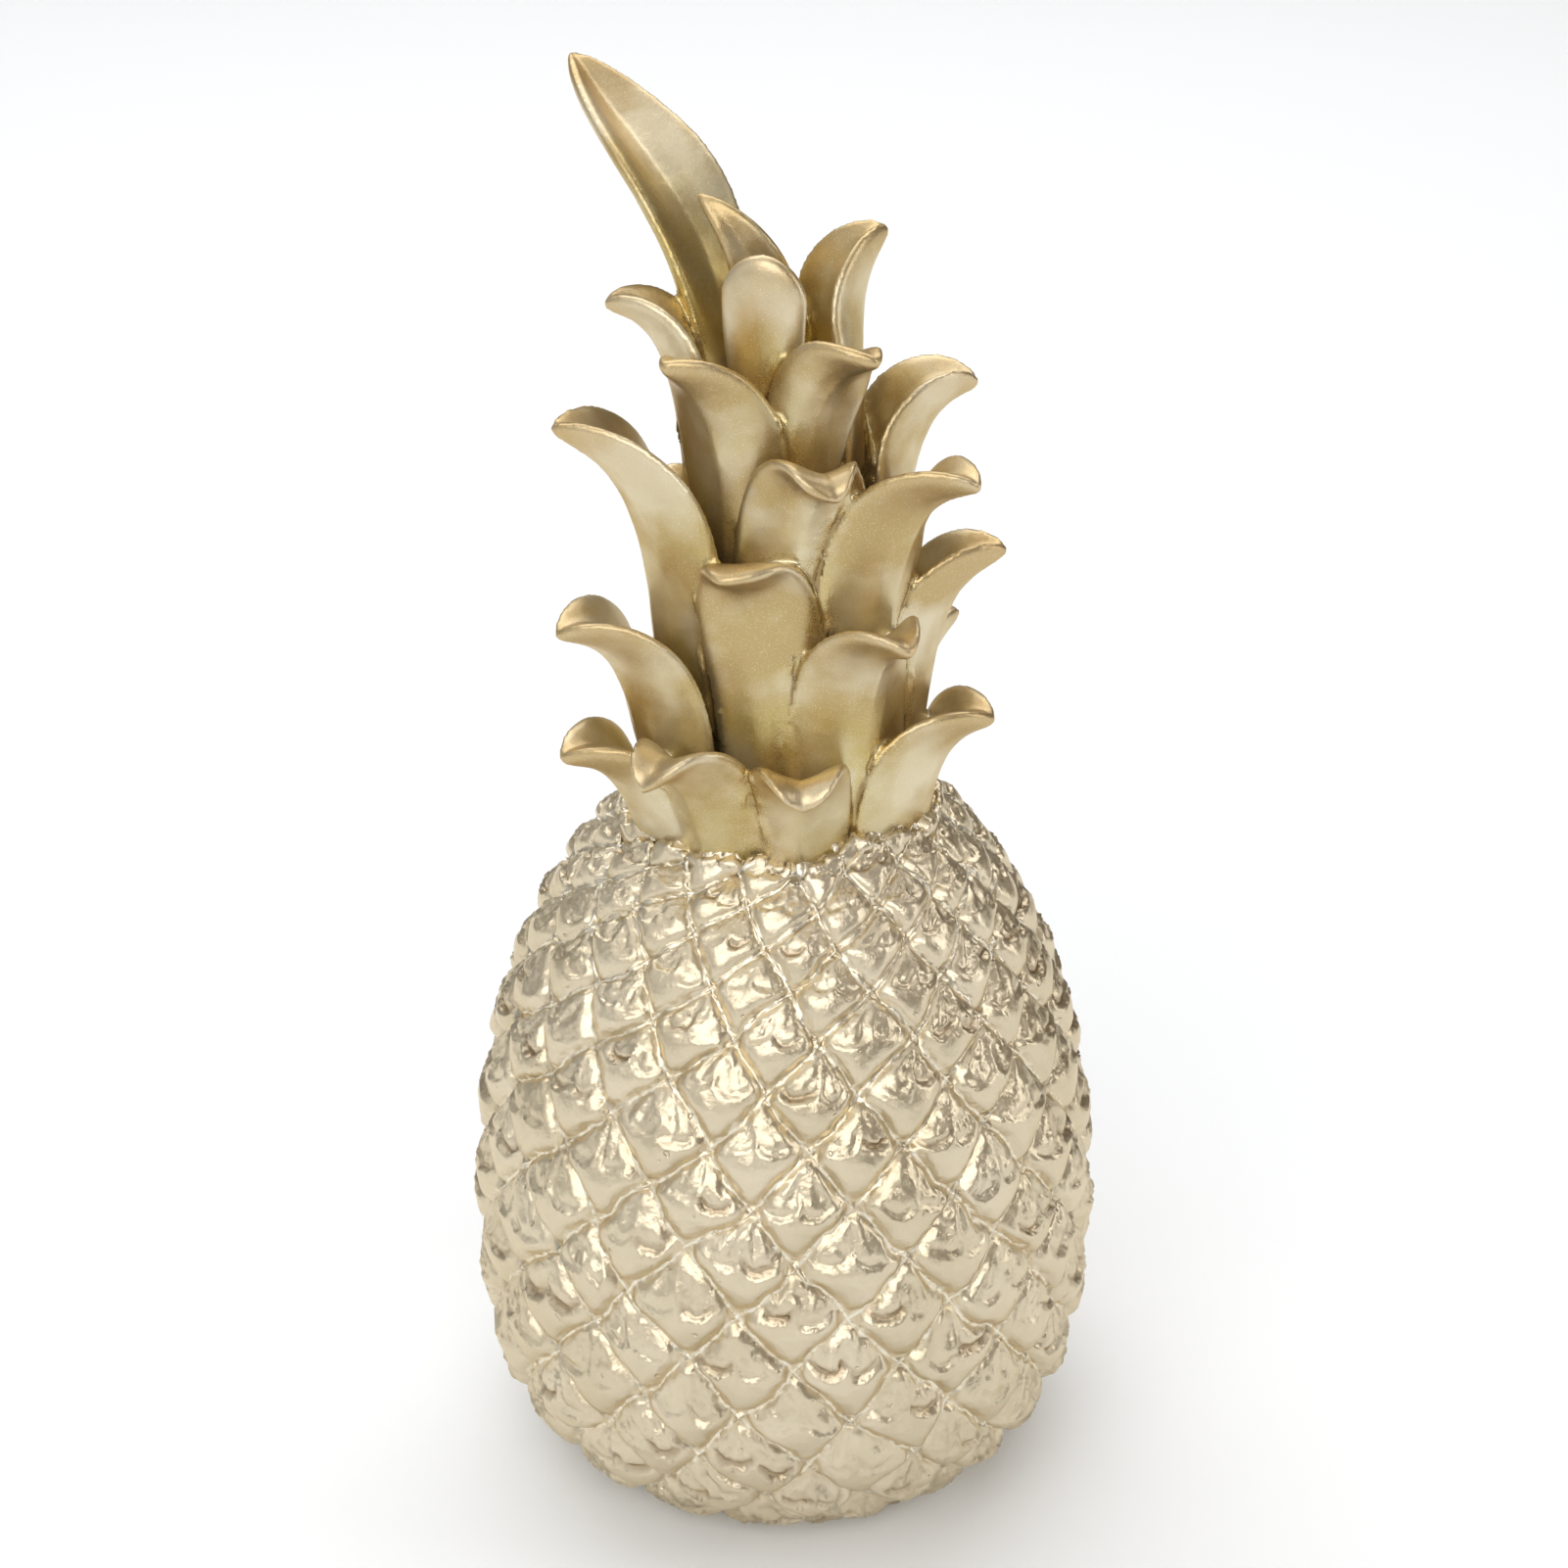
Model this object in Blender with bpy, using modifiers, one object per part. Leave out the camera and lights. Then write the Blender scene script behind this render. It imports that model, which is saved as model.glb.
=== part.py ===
"""Decorative pineapple, one resin casting painted champagne gold.

The fruit is a turned body whose skin is laid out in rhombic eyes between two sets of spirals.
The crown is a tapering core that carries tiers of thick, channelled leaves.
Units are metres, +Z is up, the underside lies on z = 0 and the front looks along -Y.
"""
import math
from collections import namedtuple

import bmesh
import bpy
from mathutils import Vector

NAME = "pineapple"
MM = 0.001

# Fruit
FRUIT_RADIUS = 50.8 * MM          # to the mean skin at the widest place
GIRTH_HEIGHT = 47.5 * MM          # height of the widest place
UPPER_HALF = 82.5 * MM            # from the widest place to the closed top of the turned shape
UPPER_POWER = 2.0                 # 2 is an ellipse, more is squarer
LOWER_HALF = 53.6 * MM
LOWER_POWER = 3.4

# Eyes of the fruit, between spirals that climb to the right and spirals that fall to the right
CLIMBING_EYES = 19                # steps along a climbing spiral that close the lattice
FALLING_EYES = 17                 # steps along a falling spiral that close it
CLIMB_TURN = math.radians(11.02)  # turn round the axis in one climbing step
CLIMB_ROW = 0.181                 # rise in one climbing step, as a share of the local radius
LATTICE_TURN = math.radians(4.0)  # where one crossing of the lattice lies
LATTICE_HEIGHT = 81.1 * MM
SPIRAL_SWAY = math.radians(7.0)   # the spirals bend to the right above and below the middle
SWAY_ROW = 0.5                    # row of the straightest stretch
UNEVEN_TURN = math.radians(1.3)   # crossings stand out of true by up to this much
UNEVEN_ROW = 0.012
GROOVE_DEPTH = 0.9 * MM           # grooves between the eyes, below the mean skin
CUSHION_HEIGHT = 1.0 * MM         # shoulders of an eye, above the mean skin
LIP_HEIGHT = 2.0 * MM             # the two lobes of its lip
LOWEST_ROW = -1.45                # rows are counted from the widest place
HIGHEST_ROW = 1.75
DENT_ROWS = (-0.95, 1.2)          # the small eyes beyond these rows have no dent

# Core of the crown
CORE_FOOT = 108 * MM              # the core starts inside the fruit
CORE_TOP = 195 * MM
CORE_RADIUS = 18.0 * MM           # up to the shoulder, and then it tapers
CORE_SHOULDER = 148 * MM
CORE_TAPER = 0.215                # radius lost with each unit of height
CORE_SIDES = 12

# Leaves
LEAF_THICKNESS = 5.0 * MM         # along the middle of a blade near its foot
LEAF_STAND = 2.4 * MM             # middle of an upright blade, outside the core
TIP_THINNING = 0.3                # share of the thickness lost towards the tip
KEEL_SOFTNESS = 0.3               # how round the keel is, as a share of the half width
FLAT_CHANNEL = 0.14               # depth of the channel at the foot, as a share of the width
LEAF_STATIONS = 6                 # cross-sections along a blade
PLAIN_STATIONS = 5                # the same for the leaves at the back
BACK_AZIMUTH = 100                # degrees from the front at which the back begins
LONG_LEAF = 220                   # the long leaf ends above this height, in millimetres

# A leaf: where it points in degrees (0 is the front, positive to the right), the heights of its
# foot and tip, the tip's distance from the axis, its greatest width, how steeply the tip ends in
# degrees (negative hangs down), how far the tip leans sideways, how far the foot stands outside
# the core, how early the blade spreads outward, how high it bends, how deep its channel gets, where
# it starts to narrow, how pointed it ends and how wide its foot is, as shares. Lengths are millimetres.
Leaf = namedtuple("Leaf", "azimuth foot tip reach width end lean stand flare bend channel shoulder point root",
                  defaults=(0.0, -0.5, 0.1, 0.6, 0.25, 0.35, 0.8, 0.88))

LEAVES = (
    # lowest tier, on the fruit's shoulder
    Leaf(-62, 108, 134.8, 39.0, 25, -5, stand=2.2, flare=0.25, channel=0.22),
    Leaf(-28, 106, 135.5, 38.0, 19, -50, lean=-4, stand=2.2, point=0.4),
    Leaf(5, 104, 132.8, 33.0, 17.0, -60, lean=0, stand=2.2, point=0.1, shoulder=0.5),
    Leaf(66, 108, 138.8, 35.0, 28, 0, lean=2, stand=2.2, flare=0.2, channel=0.22),
    Leaf(108, 118, 148.5, 29.5, 16, 25, stand=0.5),
    Leaf(142, 108, 138.0, 35.0, 20, 5, stand=2.2),
    Leaf(178, 108, 139.0, 36.0, 20, -20, stand=2.2),
    Leaf(-150, 108, 137.0, 35.0, 20, 5, stand=2.2),
    Leaf(-112, 108, 137.0, 29.0, 19, -15, stand=2.2),
    # second tier
    Leaf(-63, 120, 155.0, 38.8, 27.5, -5, stand=1.0, flare=0.25, channel=0.22),
    Leaf(-3, 118, 168.0, 29.0, 18.8, -8, lean=-8, stand=1.6, channel=0.05, point=0.0, shoulder=0.5),
    Leaf(31, 118, 156.8, 35.0, 21, -10, lean=1, stand=1.2, point=0.5),
    Leaf(82, 126, 164.2, 34.8, 22, 15, stand=1.0, channel=0.3),
    Leaf(134, 124, 160.0, 31.0, 19, 0, stand=1.0),
    Leaf(170, 124, 159.0, 35.0, 20, -15, stand=1.0),
    Leaf(-162, 124, 161.0, 35.0, 20, 5, stand=1.0),
    Leaf(-128, 124, 156.0, 24.0, 19, 25, stand=1.0),
    # third tier
    Leaf(-71, 138, 186.2, 36.6, 30.5, 20, stand=0.0, flare=0.15, channel=0.22),
    Leaf(4, 146, 180.0, 28.0, 19, -50, lean=6, channel=0.2, point=0.4, shoulder=0.45),
    Leaf(47, 142, 181.0, 37.5, 23, 0, lean=2, flare=0.2),
    Leaf(97, 154, 188.2, 30.0, 22, 0, flare=0.15, channel=0.34),
    Leaf(128, 146, 170.0, 23.0, 17, 25),
    Leaf(166, 148, 180.0, 29.0, 18, -5),
    Leaf(-158, 148, 184.0, 32.0, 19, 5),
    Leaf(-114, 148, 172.0, 22.0, 17, 25),
    # fourth tier
    Leaf(-32, 162, 198.5, 27.0, 19, 20, lean=-4, channel=0.14, point=0.5),
    Leaf(-86, 170, 202.0, 27.0, 18, -5, flare=0.15, channel=0.22),
    Leaf(5, 162, 199.1, 23.0, 14.0, 0, lean=11.7, channel=0.18, point=0.4, shoulder=0.6, root=0.75),
    Leaf(138, 164, 190.0, 18.0, 15, 25),
    Leaf(-168, 166, 199.0, 25.0, 17, 5),
    # top of the crown, with the one long leaf
    Leaf(-18, 176, 212.5, 12.5, 13.2, 80, lean=1, channel=0.03, point=0.0, shoulder=0.7, root=0.75),
    Leaf(106, 176, 212.3, 16.2, 20, 40, stand=-2, channel=0.32, root=1.0),
    Leaf(-170, 186, 216.8, 8.5, 10, 60, lean=12, shoulder=0.2),
    Leaf(-133, 176, 232.5, 45.5, 18.5, 53, stand=0.5, flare=0.12, bend=0.67, shoulder=0.55, point=0.6, root=0.65),
)


def soft_step(value, low, high):
    """0 below low, 1 above high, and an even curve between."""
    share = min(max((value - low) / (high - low), 0.0), 1.0)
    return share * share * (3.0 - 2.0 * share)


# The turned shape of the fruit

def fruit_radius(height):
    """Distance of the fruit's mean skin from the axis."""
    above = height - GIRTH_HEIGHT
    half, power = (UPPER_HALF, UPPER_POWER) if above > 0.0 else (LOWER_HALF, LOWER_POWER)
    share = min(abs(above) / half, 1.0)
    return FRUIT_RADIUS * math.sqrt(1.0 - share ** power)


def meridian(steps=1500):
    """Samples up the side of the fruit as (row, radius, height), from the bottom to the top.

    A row is a length along the side divided by the local radius, counted from the widest place,
    so eyes that keep their proportions keep the same number of rows.
    """
    bottom = GIRTH_HEIGHT - LOWER_HALF
    top = GIRTH_HEIGHT + UPPER_HALF
    samples = []
    row = 0.0
    girth_row = 0.0
    previous = None
    for step in range(1, steps):
        swing = math.pi * step / steps
        height = bottom + (top - bottom) * (1.0 - math.cos(swing)) / 2.0
        radius = fruit_radius(height)
        if previous is not None:
            length = math.hypot(radius - previous[0], height - previous[1])
            row += length * 2.0 / (radius + previous[0])
        if height <= GIRTH_HEIGHT:
            girth_row = row
        samples.append((row, radius, height))
        previous = (radius, height)
    return [(row - girth_row, radius, height) for row, radius, height in samples]


class Skin:
    """The fruit's mean skin, addressed by turn round the axis and by row."""

    def __init__(self):
        self.samples = meridian()

    def place(self, row):
        """Radius, height and outward direction of the side at a row."""
        low, high = 0, len(self.samples) - 1
        while high - low > 1:
            middle = (low + high) // 2
            if self.samples[middle][0] <= row:
                low = middle
            else:
                high = middle
        before, after = self.samples[low], self.samples[high]
        share = min(max((row - before[0]) / (after[0] - before[0]), 0.0), 1.0)
        radius = before[1] + share * (after[1] - before[1])
        height = before[2] + share * (after[2] - before[2])
        across, up = after[1] - before[1], after[2] - before[2]
        length = math.hypot(across, up)
        return radius, height, up / length, -across / length

    def row_at(self, height):
        """Row of a height on the fruit's side."""
        return min(self.samples, key=lambda sample: abs(sample[2] - height))[0]

    def point(self, turn, row, rise):
        """Point that stands off the mean skin by rise."""
        radius, height, outward, upward = self.place(row)
        radius += outward * rise
        return Vector((radius * math.sin(turn), -radius * math.cos(turn), height + upward * rise))


# The eyes

def fall_turn():
    """Turn of one falling step, so that the two sets of spirals close round the fruit."""
    return (math.tau - CLIMBING_EYES * CLIMB_TURN) / FALLING_EYES


def fall_row():
    """Drop of one falling step, so that the lattice closes at its own height."""
    return CLIMBING_EYES * CLIMB_ROW / FALLING_EYES


def unevenness(climb, fall, phase):
    """A fixed number from -1 to 1 for a crossing, which keeps the eyes from being all alike."""
    value = math.sin(climb * 12.9898 + fall * 78.233 + phase) * 43758.5453
    return 2.0 * (value - math.floor(value)) - 1.0


def first_round(climb, fall):
    """The same crossing, counted within one round of the lattice."""
    rounds = math.floor(fall / FALLING_EYES)
    return climb - rounds * CLIMBING_EYES, fall - rounds * FALLING_EYES


# Places in an eye, as shares of its half width and half height
EYE_RING = ((-0.74, 0.0), (0.0, 0.74), (0.74, 0.0), (0.0, -0.74))
EYE_LOBES = ((-0.33, 0.02), (0.33, 0.02))
EYE_DENT = (0.0, 0.3)


class Fruit:
    """The fruit's body as one closed mesh of eyes."""

    def __init__(self):
        self.skin = Skin()
        self.start_row = self.skin.row_at(LATTICE_HEIGHT)
        self.mesh = bmesh.new()
        self.crossings = {}

    def crossing(self, climb, fall):
        """Turn and row of a crossing, a little out of true."""
        home = first_round(climb, fall)
        turn = LATTICE_TURN + climb * CLIMB_TURN + fall * fall_turn()
        row = self.start_row + climb * CLIMB_ROW - fall * fall_row()
        turn += SPIRAL_SWAY * (row - SWAY_ROW) ** 2
        turn += UNEVEN_TURN * unevenness(*home, 0.3)
        row += UNEVEN_ROW * unevenness(*home, 1.7)
        return turn, row

    def corner(self, climb, fall):
        """The mesh's vertex at a crossing, in the groove."""
        key = first_round(climb, fall)
        if key not in self.crossings:
            turn, row = self.crossing(*key)
            self.crossings[key] = self.mesh.verts.new(self.skin.point(turn, row, -GROOVE_DEPTH))
        return self.crossings[key]

    def inside(self, places, across, up, rise):
        """A vertex inside an eye, from its four crossings in the order left, top, right, bottom."""
        climb = (1.0 + across + up) / 2.0
        fall = (1.0 + across - up) / 2.0
        weights = ((1 - climb) * (1 - fall), climb * (1 - fall), climb * fall, (1 - climb) * fall)
        turn = sum(weight * place[0] for weight, place in zip(weights, places))
        row = sum(weight * place[1] for weight, place in zip(weights, places))
        return self.mesh.verts.new(self.skin.point(turn, row, rise))

    def eye(self, climb, fall, dented):
        """One eye: grooves round a raised cushion, with a two-lobed lip under a dent."""
        steps = ((0, 0), (1, 0), (1, 1), (0, 1))
        corners = [self.corner(climb + right, fall + down) for right, down in steps]
        places = [self.crossing(climb + right, fall + down) for right, down in steps]
        ring = [self.inside(places, across, up, CUSHION_HEIGHT) for across, up in EYE_RING]
        lobe, mate = [self.inside(places, across, up, LIP_HEIGHT) for across, up in EYE_LOBES]
        for side in range(4):
            after = (side + 1) % 4
            self.mesh.faces.new((corners[side], ring[side], ring[after], corners[after]))
        left, top, right, bottom = ring
        faces = [(left, bottom, lobe), (lobe, bottom, mate), (mate, bottom, right)]
        if dented:
            dent = self.inside(places, *EYE_DENT, CUSHION_HEIGHT)
            faces += [(left, lobe, dent), (left, dent, top), (top, dent, right), (dent, mate, right),
                      (dent, lobe, mate)]
        else:
            faces += [(left, lobe, top), (lobe, mate, top), (mate, right, top)]
        for face in faces:
            self.mesh.faces.new(face)

    def close_ends(self):
        """Join each open end to a point on the axis."""
        border = [edge for edge in self.mesh.edges if edge.is_boundary]
        for upper in (False, True):
            edges = [edge for edge in border if (edge.verts[0].co.z > GIRTH_HEIGHT) == upper]
            height = sum(edge.verts[0].co.z for edge in edges) / len(edges)
            pole = self.mesh.verts.new((0.0, 0.0, height))
            for edge in edges:
                self.mesh.faces.new((edge.verts[0], edge.verts[1], pole))

    def cut_flat(self):
        """Cut the fruit off level at z = 0 and close it there."""
        everything = self.mesh.verts[:] + self.mesh.edges[:] + self.mesh.faces[:]
        cut = bmesh.ops.bisect_plane(self.mesh, geom=everything, plane_co=(0, 0, 0), plane_no=(0, 0, 1),
                                     clear_inner=True)
        rim = [item for item in cut["geom_cut"] if isinstance(item, bmesh.types.BMEdge)]
        bmesh.ops.contextual_create(self.mesh, geom=rim)

    def build(self):
        """All eyes between the lowest and the highest row, closed below and above."""
        most_steps = 2 * (CLIMBING_EYES + FALLING_EYES)
        for fall in range(FALLING_EYES):
            for climb in range(-most_steps, most_steps):
                row = self.start_row + (climb + 0.5) * CLIMB_ROW - (fall + 0.5) * fall_row()
                if LOWEST_ROW < row < HIGHEST_ROW:
                    self.eye(climb, fall, DENT_ROWS[0] < row < DENT_ROWS[1])
        self.close_ends()
        bmesh.ops.recalc_face_normals(self.mesh, faces=self.mesh.faces)
        self.cut_flat()
        data = bpy.data.meshes.new(NAME)
        self.mesh.to_mesh(data)
        self.mesh.free()
        return data


# The crown

def core_radius(height):
    """Radius of the crown's core: straight up to its shoulder, and then tapering."""
    return CORE_RADIUS - CORE_TAPER * max(height - CORE_SHOULDER, 0.0)


def core_object(collection):
    """The crown's core, turned from its half outline."""
    outline = [(0.0, CORE_TOP)]
    outline += [(core_radius(height), height) for height in (CORE_TOP, CORE_SHOULDER, CORE_FOOT)]
    outline += [(0.0, CORE_FOOT)]
    data = bpy.data.meshes.new("crown_core")
    points = [(radius, 0.0, height) for radius, height in outline]
    data.from_pydata(points, [(index, index + 1) for index in range(len(points) - 1)], [])
    core = bpy.data.objects.new("crown_core", data)
    collection.objects.link(core)
    turning = core.modifiers.new("turned", "SCREW")
    turning.steps = CORE_SIDES
    turning.render_steps = CORE_SIDES
    turning.use_merge_vertices = True
    turning.merge_threshold = 0.01 * MM
    return core


def cubic(points, share):
    """Point and direction of a cubic curve at a share of its run."""
    first, second, third, fourth = (Vector(point) for point in points)
    rest = 1.0 - share
    place = (first * rest ** 3 + second * 3 * rest ** 2 * share
             + third * 3 * rest * share ** 2 + fourth * share ** 3)
    way = (3 * rest ** 2 * (second - first) + 6 * rest * share * (third - second)
           + 3 * share ** 2 * (fourth - third))
    return place, way


def leaf_spine(leaf, share):
    """Middle of a leaf and its direction, as (distance from the axis, height)."""
    foot, tip, reach = leaf.foot * MM, leaf.tip * MM, leaf.reach * MM
    bend_height = foot + leaf.bend * (tip - foot)
    start = core_radius(foot) + leaf.stand * MM
    upright = core_radius(bend_height) + LEAF_STAND
    end = math.radians(leaf.end)
    pull = 0.5 * math.hypot(reach - start, 0.5 * (tip - foot))
    points = ((start, foot), (upright + leaf.flare * (reach - upright), bend_height),
              (reach - pull * math.cos(end), tip - pull * math.sin(end)), (reach, tip))
    return cubic(points, share)


def leaf_fullness(leaf, share):
    """The leaf's width as a share of its greatest width: narrower at the foot, blunt or pointed at the tip."""
    if share < leaf.shoulder:
        return leaf.root + (1.0 - leaf.root) * soft_step(share, 0.0, leaf.shoulder)
    past = (share - leaf.shoulder) / (1.0 - leaf.shoulder)
    return (1.0 - past ** (2.2 - 0.5 * leaf.point)) ** (0.6 + 0.2 * leaf.point)


# Places round a blade's section, as shares of its half width and of its thickness
BLADE_RING = ((-1, 0.3), (-0.5, 0.5), (0.5, 0.5), (1, 0.3), (0.9, -0.4), (0, -0.5), (-0.9, -0.4))


def leaf_section(leaf, share):
    """Closed outline of a leaf across its length, as (sideways, outward) pairs."""
    fullness = leaf_fullness(leaf, share)
    half = 0.5 * leaf.width * MM * fullness
    thickness = LEAF_THICKNESS * (1.0 - TIP_THINNING * share)
    deepening = (leaf.channel - FLAT_CHANNEL) * soft_step(share, 0.15, 0.65)
    channel = leaf.width * MM * (FLAT_CHANNEL + deepening) * fullness ** 0.8
    edge_bend = math.hypot(1.0, KEEL_SOFTNESS) - KEEL_SOFTNESS
    outline = []
    for place, side in BLADE_RING:
        bend = (math.hypot(place, KEEL_SOFTNESS) - KEEL_SOFTNESS) / edge_bend
        outline.append((half * place, side * thickness - channel * bend))
    return outline


def leaf_frame(leaf, share):
    """Middle of a leaf, the way across it and the way out of its outer face."""
    azimuth = math.radians(leaf.azimuth)
    outward = Vector((math.sin(azimuth), -math.cos(azimuth), 0.0))
    sideways = Vector((math.cos(azimuth), math.sin(azimuth), 0.0))
    upward = Vector((0.0, 0.0, 1.0))
    place, way = leaf_spine(leaf, share)
    lean = leaf.lean * MM
    middle = outward * place.x + upward * place.y + sideways * lean * share ** 2
    along = (outward * way.x + upward * way.y + sideways * 2.0 * share * lean).normalized()
    across = (sideways - along * sideways.dot(along)).normalized()
    return middle, across, across.cross(along)


def leaf_mesh(leaf):
    """One leaf as a closed loft from its foot in the core to its tip."""
    mesh = bmesh.new()
    rings = []
    plain = abs(leaf.azimuth) > BACK_AZIMUTH and leaf.tip < LONG_LEAF
    stations = PLAIN_STATIONS if plain else LEAF_STATIONS
    for station in range(stations):
        share = 0.975 * (station / (stations - 1)) ** 0.85
        middle, across, outer = leaf_frame(leaf, share)
        rings.append([mesh.verts.new(middle + across * aside + outer * out)
                      for aside, out in leaf_section(leaf, share)])
    for lower, upper in zip(rings, rings[1:]):
        for index in range(len(lower)):
            after = (index + 1) % len(lower)
            mesh.faces.new((lower[index], lower[after], upper[after], upper[index]))
    mesh.faces.new(rings[0])
    mesh.faces.new(rings[-1])
    bmesh.ops.recalc_face_normals(mesh, faces=mesh.faces)
    bmesh.ops.triangulate(mesh, faces=mesh.faces)
    data = bpy.data.meshes.new("leaf")
    mesh.to_mesh(data)
    mesh.free()
    return data


# The whole casting

def new_collection(name):
    collection = bpy.data.collections.new(name)
    bpy.context.scene.collection.children.link(collection)
    return collection


def gold_paint():
    """Champagne gold paint with a satin sheen."""
    material = bpy.data.materials.new("champagne_gold_paint")
    material.use_nodes = True
    shader = material.node_tree.nodes["Principled BSDF"]
    shader.inputs["Base Color"].default_value = (0.66, 0.55, 0.36, 1.0)
    shader.inputs["Metallic"].default_value = 0.75
    shader.inputs["Roughness"].default_value = 0.33
    return material


def fruit_object(collection):
    """The fruit with its eyes, which becomes the whole casting."""
    fruit = bpy.data.objects.new(NAME, Fruit().build())
    fruit.data.materials.append(gold_paint())
    collection.objects.link(fruit)
    return fruit


def join_crown(fruit, shapes):
    """Unite the fruit with the core and the leaves."""
    for guide in shapes.objects:
        guide.hide_render = True
        guide.display_type = "WIRE"
    union = fruit.modifiers.new("crown", "BOOLEAN")
    union.operation = "UNION"
    union.operand_type = "COLLECTION"
    union.collection = shapes
    union.solver = "EXACT"


def main():
    for leftover in list(bpy.data.objects):
        bpy.data.objects.remove(leftover)
    parts = new_collection(NAME)
    shapes = new_collection("building_shapes")
    fruit = fruit_object(parts)
    core_object(shapes)
    for number, leaf in enumerate(LEAVES, 1):
        shapes.objects.link(bpy.data.objects.new(f"leaf_{number:02d}", leaf_mesh(leaf)))
    join_crown(fruit, shapes)


main()
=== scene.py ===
"""The decorative pineapple, dressed for its picture: a resin casting painted champagne gold."""

import math
from collections import namedtuple

import bmesh
import bpy
import numpy as np
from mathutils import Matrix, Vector, kdtree, noise
from mathutils.bvhtree import BVHTree

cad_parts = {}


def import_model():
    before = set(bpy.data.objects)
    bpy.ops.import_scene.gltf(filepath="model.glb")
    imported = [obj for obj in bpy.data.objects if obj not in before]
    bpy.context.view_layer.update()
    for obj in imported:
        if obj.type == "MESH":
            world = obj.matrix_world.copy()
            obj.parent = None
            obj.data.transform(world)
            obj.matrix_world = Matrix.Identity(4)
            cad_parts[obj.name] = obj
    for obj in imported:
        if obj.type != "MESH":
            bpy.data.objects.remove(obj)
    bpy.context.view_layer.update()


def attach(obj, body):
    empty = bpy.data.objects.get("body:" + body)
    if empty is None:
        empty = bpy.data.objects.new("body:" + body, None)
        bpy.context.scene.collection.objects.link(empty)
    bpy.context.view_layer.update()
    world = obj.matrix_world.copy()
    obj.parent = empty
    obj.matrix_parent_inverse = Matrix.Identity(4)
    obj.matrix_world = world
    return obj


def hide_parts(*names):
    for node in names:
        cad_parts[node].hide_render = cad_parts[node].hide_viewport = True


MM = 0.001

# The turned shape of the fruit
FRUIT_RADIUS = 50.8 * MM          # to the mean skin at the widest place
GIRTH_HEIGHT = 47.5 * MM          # height of the widest place
UPPER_HALF = 82.5 * MM            # from the widest place to the closed top of the turned shape
UPPER_POWER = 2.0                 # 2 is an ellipse, more is squarer
LOWER_HALF = 53.6 * MM
LOWER_POWER = 3.4

# The two sets of spirals that lay out the eyes
CLIMBING_EYES = 19                # steps along a climbing spiral that close the lattice
FALLING_EYES = 17                 # steps along a falling spiral that close it
CLIMB_TURN = math.radians(11.02)  # turn round the axis in one climbing step
CLIMB_ROW = 0.181                 # rise in one climbing step, as a share of the local radius
FALL_TURN = (math.tau - CLIMBING_EYES * CLIMB_TURN) / FALLING_EYES
FALL_ROW = CLIMBING_EYES * CLIMB_ROW / FALLING_EYES
LATTICE_TURN = math.radians(4.0)  # where one crossing of the lattice lies
LATTICE_HEIGHT = 81.1 * MM
SPIRAL_SWAY = math.radians(7.0)   # the spirals bend to the right above and below the middle
SWAY_ROW = 0.5                    # row of the straightest stretch
UNEVEN_TURN = math.radians(1.3)   # crossings stand out of true by up to this much
UNEVEN_ROW = 0.012
LOWEST_ROW = -1.45                # rows are counted from the widest place
HIGHEST_ROW = 2.05
CLIMBS = range(-40, 60)           # steps along every climbing spiral, more than its rows have eyes

# Samples along one side of an eye, closer together at the grooves
SIDE_SAMPLES = (0.0, 0.014, 0.03, 0.052, 0.08, 0.115, 0.155, 0.2, 0.245, 0.29, 0.335, 0.38, 0.42, 0.46, 0.5)
CORD_WIDTH = 0.017                # half width of the cord in a groove, as a share of an eye's side
ROUGH_WIDTH = 0.07                # how far the rough paint beside it reaches
FULL_RELIEF_RADIUS = 46.0 * MM    # where the fruit is narrower, its eyes stand out less
LIP_FOLDS = ((0.1, 0.028, 0.24), (0.19, 0.03, 0.16))  # place above the lip, width and height of each
FRUIT_TRIANGLES = 195000

# Core of the crown and its leaves
CORE_FOOT = 106 * MM              # the core starts inside the fruit
CORE_TOP = 195 * MM
CORE_DOME = 6.5 * MM              # height of its rounded end
CORE_RADIUS = 18.0 * MM           # up to the shoulder, and then it tapers
CORE_SHOULDER = 148 * MM
CORE_TAPER = 0.215                # radius lost with each unit of height
CORE_SIDES = 48
LEAF_THICKNESS = 5.2 * MM         # along the middle of a blade near its foot
LEAF_STAND = 2.4 * MM             # middle of an upright blade, outside the core
TIP_THINNING = 0.3                # share of the thickness lost towards the tip
KEEL_SOFTNESS = 0.2               # how round the keel is, as a share of the half width
FLAT_CHANNEL = 0.14               # depth of the channel at the foot, as a share of the width
SECTION_POWER = 3.2               # a blade's section: 2 is an oval, more is squarer
LEAF_STATIONS = 44                # sections along a blade
LEAF_RING = 40                    # points round a section
CROWN_VOXEL = 0.5 * MM
CROWN_TRIANGLES = 190000
CREASE_REACH = 3.0 * MM           # how far from a crease between two leaves its painted shade reaches
ROOT_HEIGHT = 100 * MM            # the leaves stand on the fruit above this
ROOT_CORD_REACH = 5.0 * MM        # how far the cord round their feet can spread

# A leaf: where it points in degrees (0 is the front, positive to the right), the heights of its
# foot and tip, the tip's distance from the axis, its greatest width, how steeply the tip ends in
# degrees (negative hangs down), how far the tip leans sideways, how far the foot stands outside
# the core, how early the blade spreads outward, how high it bends, how deep its channel gets, where
# it starts to narrow, how pointed it ends and how wide its foot is, as shares. Lengths are millimetres.
LEAF_FIELDS = "azimuth foot tip reach width end lean stand flare bend channel shoulder point root"
Leaf = namedtuple("Leaf", LEAF_FIELDS, defaults=(0.0, -0.5, 0.1, 0.6, 0.25, 0.35, 0.8, 0.88))

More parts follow.
